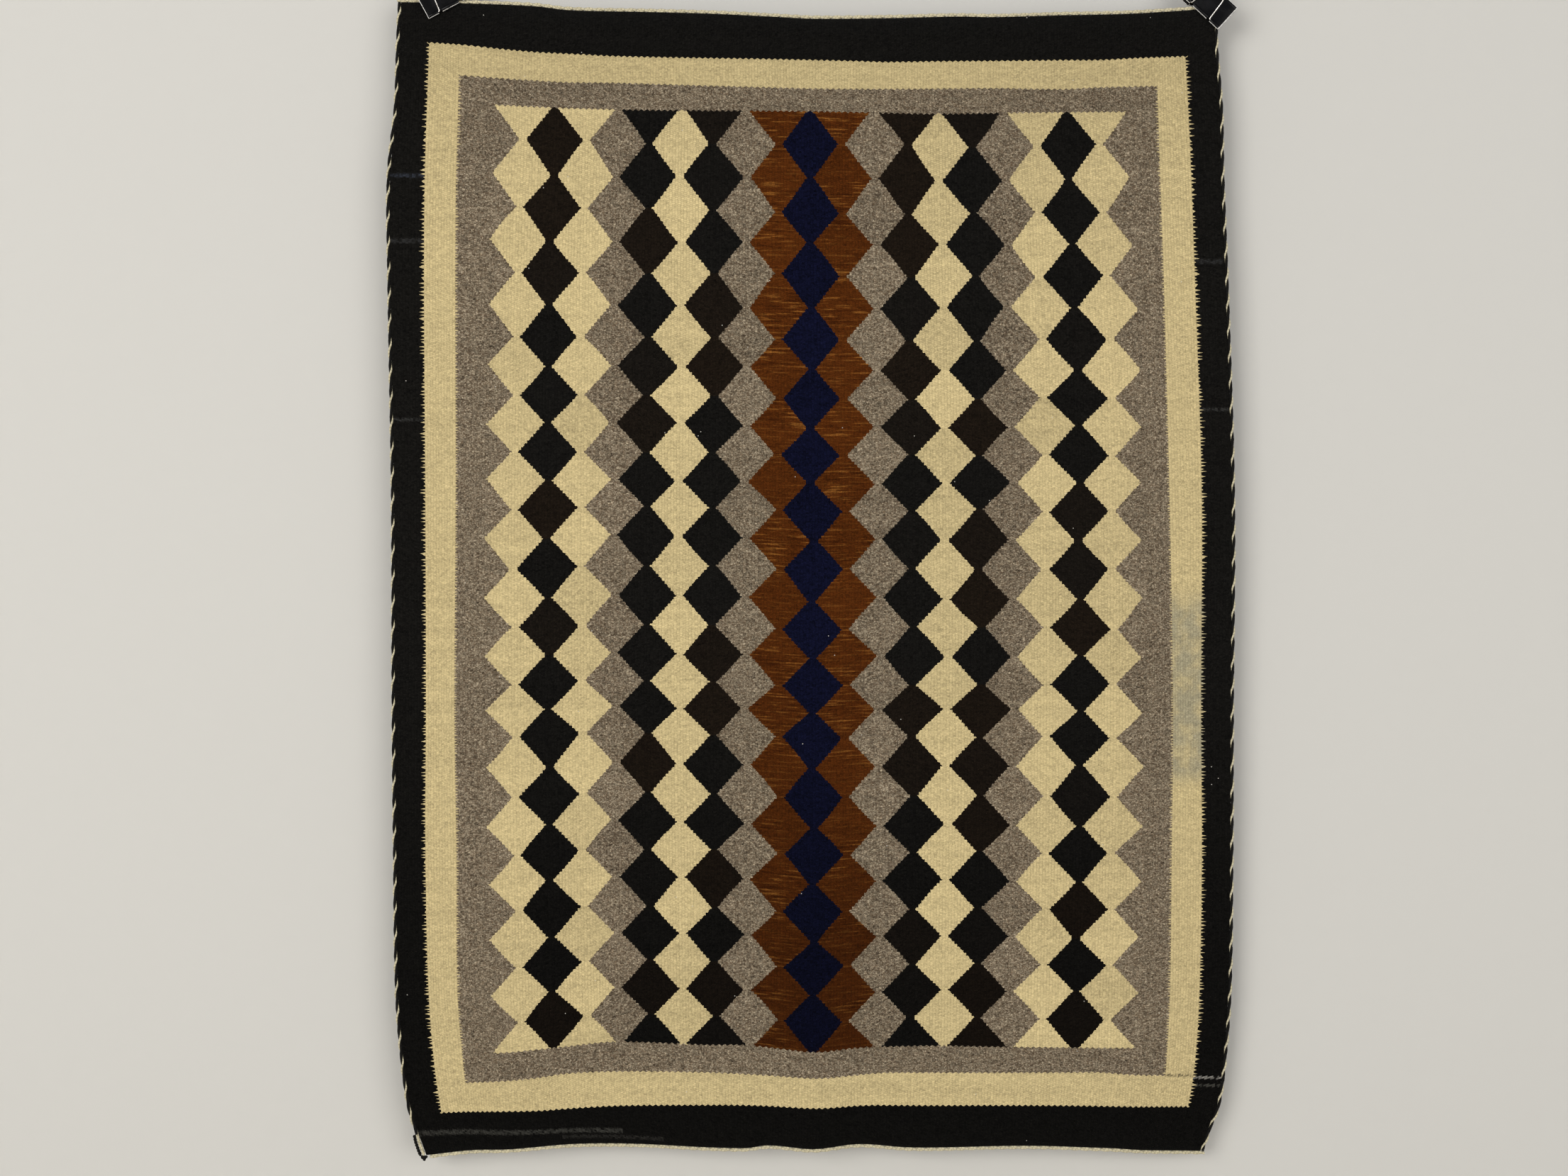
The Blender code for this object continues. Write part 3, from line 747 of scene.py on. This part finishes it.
def make_cloth(finish):
    """The woven sheet as one closed skin, ribbed along its warps on both faces."""
    last_warp = WARP_OF_LINE[-1]
    warps = [rib + share for rib in range(last_warp) for share in RIB_STATIONS] + [last_warp]
    warps = np.array(warps, float)
    field = [WEFT_OF_LINE[3] + HALF_ROW * i for i in range(FIELD_HALF_ROWS + 1)]
    wefts = np.array(WEFTS_ABOVE_FIELD + tuple(field) + WEFTS_BELOW_FIELD, float)
    grid_warp, grid_weft = np.meshgrid(warps, wefts)
    middle = cloth_places(grid_warp, grid_weft).reshape(len(wefts), len(warps), 3)
    half = np.where(warps % 1.0 < 0.01, RIB_VALLEY, RIB_CREST)
    half[0] = half[-1] = EDGE_HALF_THICK
    half = half * MM
    rim = np.ones(len(wefts))
    rim[0] = rim[-1] = EDGE_HALF_THICK / RIB_VALLEY
    depth = half[None, :] * rim[:, None]
    front, back = middle.copy(), middle.copy()
    front[:, :, 1] -= depth
    back[:, :, 1] += depth
    rows, columns = len(wefts), len(warps)
    points = np.concatenate((front.reshape(-1, 3), back.reshape(-1, 3)))
    number = np.arange(rows * columns).reshape(rows, columns)
    other = number + rows * columns

    def quads(a, b, c, d):
        return np.stack((a.ravel(), b.ravel(), c.ravel(), d.ravel()), axis=1)

    faces = np.concatenate((
        quads(number[1:, :-1], number[1:, 1:], number[:-1, 1:], number[:-1, :-1]),
        quads(other[:-1, :-1], other[:-1, 1:], other[1:, 1:], other[1:, :-1]),
        quads(number[:-1, 0], other[:-1, 0], other[1:, 0], number[1:, 0]),
        quads(number[1:, -1], other[1:, -1], other[:-1, -1], number[:-1, -1]),
        quads(number[0, :-1], number[0, 1:], other[0, 1:], other[0, :-1]),
        quads(other[-1, :-1], other[-1, 1:], number[-1, 1:], number[-1, :-1]),
    ))
    mesh = bpy.data.meshes.new("rug")
    mesh.from_pydata(points.tolist(), [], faces.tolist())
    counts = np.stack((grid_warp.ravel(), grid_weft.ravel(), np.zeros(rows * columns)), axis=1)
    both = np.concatenate((counts, counts + (0.0, 0.0, 1.0)))
    mesh.attributes.new("weave", "FLOAT_VECTOR", "POINT").data.foreach_set("vector", both.ravel())
    mesh.shade_smooth()
    return add("woven_rug", mesh, finish)


def path_object(name, points):
    curve = bpy.data.curves.new(name, "CURVE")
    curve.dimensions = "3D"
    curve.twist_mode = "MINIMUM"
    spline = curve.splines.new("POLY")
    spline.points.add(len(points) - 1)
    for target, point in zip(spline.points, points):
        target.co = (*point, 1.0)
    return add(name, curve)


class Grower:
    """A Geometry Nodes tree being built, whose inputs are named and set by identifier."""

    def __init__(self, name):
        self.tree = bpy.data.node_groups.new(name, "GeometryNodeTree")
        self.tree.interface.new_socket("Geometry", in_out="INPUT", socket_type="NodeSocketGeometry")
        self.tree.interface.new_socket("Geometry", in_out="OUTPUT", socket_type="NodeSocketGeometry")
        self.given = {}
        self.start = self.tree.nodes.new("NodeGroupInput")
        self.end = self.tree.nodes.new("NodeGroupOutput")

    def size(self, name, kind="NodeSocketFloat"):
        socket = self.tree.interface.new_socket(name, in_out="INPUT", socket_type=kind)
        self.given[name] = socket.identifier
        return self.start.outputs[name]

    def node(self, kind, settings=None, sockets=None, out=0):
        made = self.tree.nodes.new(kind)
        for name, value in (settings or {}).items():
            setattr(made, name, value)
        for key, value in (sockets or {}).items():
            if isinstance(value, bpy.types.NodeSocket):
                self.tree.links.new(value, made.inputs[key])
            else:
                made.inputs[key].default_value = value
        return made.outputs[out]

    def maths(self, operation, first, second=0.0):
        return self.node("ShaderNodeMath", {"operation": operation}, {0: first, 1: second})

    def vector(self, operation, first, second=None, scale=None):
        sockets = {0: first}
        if second is not None:
            sockets[1] = second
        if scale is not None:
            sockets["Scale"] = scale
        return self.node("ShaderNodeVectorMath", {"operation": operation}, sockets)

    def finish(self, geometry):
        real = self.node("GeometryNodeRealizeInstances", sockets={0: geometry})
        dressed = self.node("GeometryNodeSetMaterial",
                            sockets={0: real, "Material": self.size("Material", "NodeSocketMaterial")})
        self.tree.links.new(dressed, self.end.inputs[0])


def plied_cord_tree():
    """Strands laid round a path as a helix, each as thick as handspun yarn is."""
    grow = Grower("plied cord")
    strands = grow.size("Strands", "NodeSocketInt")
    first_radius = grow.size("Strand radius")
    first_twist = grow.size("Twist radius")
    last_radius = grow.size("Last strand radius")
    last_twist = grow.size("Last twist radius")
    turn = grow.size("Turn length")
    step = grow.size("Step")
    unevenness = grow.size("Unevenness")
    sides = grow.size("Sides", "NodeSocketInt")
    path = grow.node("GeometryNodeResampleCurve", {"mode": "LENGTH"},
                     {"Curve": grow.start.outputs[0], "Length": step})
    copies = grow.tree.nodes.new("GeometryNodeDuplicateElements")
    copies.domain = "SPLINE"
    grow.tree.links.new(path, copies.inputs["Geometry"])
    grow.tree.links.new(strands, copies.inputs["Amount"])
    index = copies.outputs["Duplicate Index"]
    twist_radius = grow.node("ShaderNodeMix", sockets={0: index, 2: first_twist, 3: last_twist})
    strand_radius = grow.node("ShaderNodeMix", sockets={0: index, 2: first_radius, 3: last_radius})
    along = grow.node("GeometryNodeSplineParameter", out="Length")
    phase = grow.maths("DIVIDE", index, strands)
    angle = grow.maths("MULTIPLY", grow.maths("ADD", grow.maths("DIVIDE", along, turn), phase), 2 * math.pi)
    normal = grow.node("GeometryNodeInputNormal")
    tangent = grow.node("GeometryNodeInputTangent")
    side = grow.vector("CROSS_PRODUCT", tangent, normal)
    out_first = grow.vector("SCALE", normal, scale=grow.maths("COSINE", angle))
    out_second = grow.vector("SCALE", side, scale=grow.maths("SINE", angle))
    offset = grow.vector("SCALE", grow.vector("ADD", out_first, out_second), scale=twist_radius)
    label = grow.node("ShaderNodeCombineXYZ", sockets={0: index, 1: along, 2: phase})
    labelled = grow.node("GeometryNodeStoreNamedAttribute",
                         {"data_type": "FLOAT_VECTOR", "domain": "POINT"},
                         {"Geometry": copies.outputs["Geometry"], "Name": "ply", "Value": label})
    moved = grow.node("GeometryNodeSetPosition", sockets={"Geometry": labelled, "Offset": offset})
    lumps = grow.node("ShaderNodeTexNoise", {"noise_dimensions": "3D"},
                      {"Vector": label, "Scale": 260.0, "Detail": 2.0})
    share = grow.maths("ADD", 1.0, grow.maths("MULTIPLY", grow.maths("SUBTRACT", lumps, 0.5), unevenness))
    radius = grow.maths("MULTIPLY", share, strand_radius)
    thick = grow.node("GeometryNodeStoreNamedAttribute", {"data_type": "FLOAT", "domain": "POINT"},
                      {"Geometry": moved, "Name": "strand radius", "Value": radius})
    kept = grow.node("GeometryNodeInputNamedAttribute", {"data_type": "FLOAT"}, {"Name": "strand radius"})
    sized = grow.node("GeometryNodeSetCurveRadius", sockets={"Curve": thick, "Radius": kept})
    ring = grow.node("GeometryNodeCurvePrimitiveCircle", {"mode": "RADIUS"},
                     {"Resolution": sides, "Radius": 1.0})
    tube = grow.node("GeometryNodeCurveToMesh",
                     sockets={"Curve": sized, "Profile Curve": ring, "Scale": kept, "Fill Caps": True})
    grow.finish(grow.node("GeometryNodeSetShadeSmooth", sockets={"Geometry": tube}))
    return grow


def grown(name, source, grow, **values):
    """The mesh that a tree grows from a source object, which is then removed."""
    modifier = source.modifiers.new("growth", "NODES")
    modifier.node_group = grow.tree
    for word, value in values.items():
        modifier[grow.given[word.replace("_", " ")]] = value
    bpy.context.view_layer.update()
    graph = bpy.context.evaluated_depsgraph_get()
    mesh = bpy.data.meshes.new_from_object(source.evaluated_get(graph))
    mesh.name = name
    bpy.data.objects.remove(source, do_unlink=True)
    return add(name, mesh)


def beside_cloth(warp, first_weft, last_weft, outward):
    """Points down a side edge, outside it by the cord's reach."""
    wefts = np.linspace(first_weft, last_weft, PATH_POINTS)
    points = cloth_places(warp, wefts)
    points[:, 0] += outward * CORD_REACH * MM
    return points


def along_end(weft, rise, first_overrun, last_overrun):
    """Points along the top or bottom edge, a little outside it, past its corners by the overruns."""
    last = WARP_OF_LINE[-1]
    points = cloth_places(np.linspace(0, last, PATH_POINTS), weft)
    points[:, 2] += rise * MM
    for end, inner, overrun in ((0, 1, first_overrun), (-1, -2, last_overrun)):
        way = points[end] - points[inner]
        points[end] += way / np.linalg.norm(way) * overrun * MM
    return points


def plied(name, node, grow, points, first, last, turn, step, unevenness, finish):
    """Two strands twisted along a path, standing for a CAD cord; each strand is (radius, twist radius)."""
    piece = grown(name, path_object(name + " path", points), grow, Strands=2,
                  Strand_radius=first[0] * MM, Twist_radius=first[1] * MM,
                  Last_strand_radius=last[0] * MM, Last_twist_radius=last[1] * MM,
                  Turn_length=turn * MM, Step=step * MM, Unevenness=unevenness, Sides=CORD_SIDES,
                  Material=finish)
    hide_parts(node)
    return piece


def make_cords(grow, pair_finish, cream_finish, black_finish):
    """The twisted side cords, the twined end cords and the loose corner strands with their knot."""
    made = []
    foot = WEFT_OF_LINE[-1] - LEFT_CORD_BARE / WEFT_PITCH
    cream_wrap, black_core = (SIDE_CREAM, SIDE_CREAM_TWIST), (SIDE_BLACK, SIDE_BLACK_TWIST)
    for name, node, warp, outward, foot_weft in (
            ("left_side_yarns", "left_side_cords", 0, -1, foot),
            ("right_side_yarns", "right_side_cords", WARP_OF_LINE[-1], 1, WEFT_OF_LINE[-1])):
        made.append(plied(name, node, grow, beside_cloth(warp, 0, foot_weft, outward),
                          cream_wrap, black_core, SIDE_TURN, SIDE_STEP, SIDE_UNEVEN, pair_finish))
    end_strand = (END_STRAND, END_TWIST)
    for name, node, weft, rise, first_overrun in (
            ("top_end_yarns", "top_end_cord", 0, END_CORD_RISE, END_OVERRUN),
            ("bottom_end_yarns", "bottom_end_cord", WEFT_OF_LINE[-1], -END_CORD_RISE, LEFT_FOOT_OVERRUN)):
        made.append(plied(name, node, grow, along_end(weft, rise, first_overrun, END_OVERRUN),
                          end_strand, end_strand, END_TURN, END_STEP, END_UNEVEN, cream_finish))
    corner = cloth_places(0, WEFT_OF_LINE[-1])[0]
    corner_strand = (CORNER_STRAND, CORNER_TWIST)
    for name, node, rows, finish, slot in (
            ("corner_yarn_cream", "corner_cord_cream", CREAM_CORNER, cream_finish, "cream_cord"),
            ("corner_yarn_black", "corner_cord_black", BLACK_CORNER, black_finish, "black_cord")):
        points = [corner + np.array((across, 0, -drop)) * MM for across, drop in rows]
        made.append(plied(name, node, grow, points, corner_strand, corner_strand,
                          CORNER_TURN, CORNER_STEP, CORNER_UNEVEN, finish))
    made.append(make_knot(grow, black_finish, corner))
    return made


def make_knot(grow, finish, corner):
    """The strands' knot, as a small trefoil of yarn drawn tight, with no tail."""
    centre = corner + np.array((KNOT_CENTRE[0], 0, -KNOT_CENTRE[1])) * MM
    half_wide, half_tall, half_deep = KNOT_HALF
    points = []
    for i in range(KNOT_POINTS + 1):
        turn = 2 * math.pi * i / KNOT_POINTS
        x = half_wide * (math.sin(turn) + KNOT_LOBES * math.sin(2 * turn))
        z = half_tall * (math.cos(turn) - KNOT_LOBES * math.cos(2 * turn))
        y = half_deep * math.sin(3 * turn)
        points.append(centre + np.array((x, y, z)) * MM)
    strand = (KNOT_STRAND, KNOT_TWIST)
    return plied("corner_knot_yarn", "corner_knot", grow, points, strand, strand,
                 CORNER_TURN, KNOT_STEP, KNOT_UNEVEN, finish)


def roll_centre():
    forward = CLOTH_THICK / 2 + TOUCH_GAP + SHEET_THICK / 2 + ROLL_RADIUS
    return forward, ROLL_RADIUS + SHEET_THICK / 2


def clip_profile():
    """Half of the clip's bent sheet as (forward, height) rows: rolled edge, plate, half the spine."""
    forward, height = roll_centre()
    rows = []
    for i in range(ROLL_STEPS + 1):
        angle = math.radians(ROLL_START + ROLL_TURN * i / ROLL_STEPS)
        rows.append((forward + ROLL_RADIUS * math.sin(angle), height + ROLL_RADIUS * math.cos(angle)))
    slope = math.radians(PLATE_SLOPE)
    corner_height = SPINE_DEPTH - SPINE_CORNER
    rise = (corner_height - rows[-1][1]) * math.sin(slope) - SPINE_CORNER
    corner_forward = rows[-1][0] + rise / math.cos(slope)
    for i in range(SPINE_STEPS + 1):
        angle = (slope + math.pi / 2) * (1 - i / SPINE_STEPS)
        rows.append((corner_forward + SPINE_CORNER * math.sin(angle),
                     corner_height + SPINE_CORNER * math.cos(angle)))
    rows.append((0.0, SPINE_DEPTH))
    return rows


def clip_skin():
    """Half of the sheet drawn out along the jaw, open where the wires come out of the roll."""
    stations = (-CLIP_WIDTH / 2, -KNUCKLE_START, -TONGUE_HALF, TONGUE_HALF, KNUCKLE_START, CLIP_WIDTH / 2)
    rows = clip_profile()
    bm = bmesh.new()
    verts = [bm.verts.new((stations[0] * MM, -forward * MM, height * MM)) for forward, height in rows]
    edges = [bm.edges.new(pair) for pair in zip(verts, verts[1:])]
    for start, end in zip(stations, stations[1:]):
        drawn = bmesh.ops.extrude_edge_only(bm, edges=edges)["geom"]
        moved = [item for item in drawn if isinstance(item, bmesh.types.BMVert)]
        fresh = set(moved)
        edges = [item for item in drawn if isinstance(item, bmesh.types.BMEdge)
                 and item.verts[0] in fresh and item.verts[1] in fresh]
        bmesh.ops.translate(bm, verts=moved, vec=((end - start) * MM, 0, 0))
    roll_limit = roll_centre()[1] + ROLL_RADIUS
    for face in list(bm.faces):
        middle = face.calc_center_median() / MM
        if TONGUE_HALF < abs(middle.x) < KNUCKLE_START and middle.z < roll_limit:
            bm.faces.remove(face)
    bmesh.ops.delete(bm, geom=[edge for edge in bm.edges if not edge.link_faces], context="EDGES")
    return bm


def seated(name, source, clip):
    """The evaluated mesh of a source object, carried to its clip's place."""
    _, across, drop, turn = clip
    bpy.context.view_layer.update()
    graph = bpy.context.evaluated_depsgraph_get()
    mesh = bpy.data.meshes.new_from_object(source.evaluated_get(graph))
    mesh.name = name
    bpy.data.objects.remove(source, do_unlink=True)
    own = np.empty(len(mesh.vertices) * 3)
    mesh.vertices.foreach_get("co", own)
    mesh.attributes.new("seat", "FLOAT_VECTOR", "POINT").data.foreach_set("vector", own / MM)
    seat = Euler((0, -math.radians(turn), 0)).to_matrix().to_4x4()
    seat.translation = Vector((across, 0, -drop)) * MM
    mesh.transform(seat)
    return add(name, mesh)


def make_clip_body(clip, finish):
    bm = clip_skin()
    mesh = bpy.data.meshes.new("clip skin")
    bm.to_mesh(mesh)
    bm.free()
    source = add("clip source", mesh, finish)
    mirror = source.modifiers.new("back half", "MIRROR")
    mirror.use_axis = (False, True, False)
    mirror.merge_threshold = MERGE_WITHIN * MM
    thicken = source.modifiers.new("sheet", "SOLIDIFY")
    thicken.thickness = SHEET_THICK * MM
    thicken.offset = 0.0
    thicken.use_even_offset = True
    soften = source.modifiers.new("soft edges", "BEVEL")
    soften.width = EDGE_SOFTENING * MM
    soften.segments = EDGE_SEGMENTS
    soften.limit_method = "ANGLE"
    soften.angle_limit = math.radians(SOFTEN_ANGLE)
    piece = seated(clip[0] + "_enamelled_body", source, clip)
    piece.data.shade_smooth()
    piece.data.set_sharp_from_angle(angle=math.radians(SHARP_ANGLE))
    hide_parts(clip[0] + "_body")
    return piece


def handle_route(facing):
    loop = [(HANDLE_LOOP_RADIUS * math.cos(math.radians(90 * i / HANDLE_LOOP_STEPS)),
             HANDLE_LOOP_CENTRE + HANDLE_LOOP_RADIUS * math.sin(math.radians(90 * i / HANDLE_LOOP_STEPS)))
            for i in range(HANDLE_LOOP_STEPS + 1)]
    half = list(HANDLE_HALF) + loop
    whole = half + [(-across, along) for across, along in reversed(half[:-1])]
    forward, height = roll_centre()
    slope = math.radians(PLATE_SLOPE)
    return [Vector((across, -facing * (forward + along * math.sin(slope)),
                    height + along * math.cos(slope))) * MM for across, along in whole]


def make_clip_handle(clip, side, facing, finish):
    source = path_object("handle source", handle_route(facing))
    source.data.use_fill_caps = True
    source.data.bevel_depth = WIRE_RADIUS * MM
    source.data.bevel_resolution = 4
    source.data.materials.append(finish)
    piece = seated(clip[0] + "_" + side + "_wire", source, clip)
    piece.data.shade_smooth()
    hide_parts(clip[0] + "_" + side + "_handle")
    return piece


def make_clips(enamel, nickel):
    made = []
    for clip in CLIPS:
        made.append(make_clip_body(clip, enamel))
        made.append(make_clip_handle(clip, "front", 1, nickel))
        made.append(make_clip_handle(clip, "back", -1, nickel))
    return made


def main():
    place_camera()
    make_stage()
    cord_tree = plied_cord_tree()
    cords = make_cords(cord_tree,
                       plied_wool("cream and black cord", CORD_WOOL, BLACK_WOOL),
                       plied_wool("cream cord", CORD_WOOL),
                       plied_wool("black cord", BLACK_WOOL))
    rug = make_cloth(woven_wool())
    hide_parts("rug_cloth")
    clips = make_clips(black_enamel(), nickel_wire())
    for piece in [rug] + cords + clips:
        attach(piece, BODY)


main()
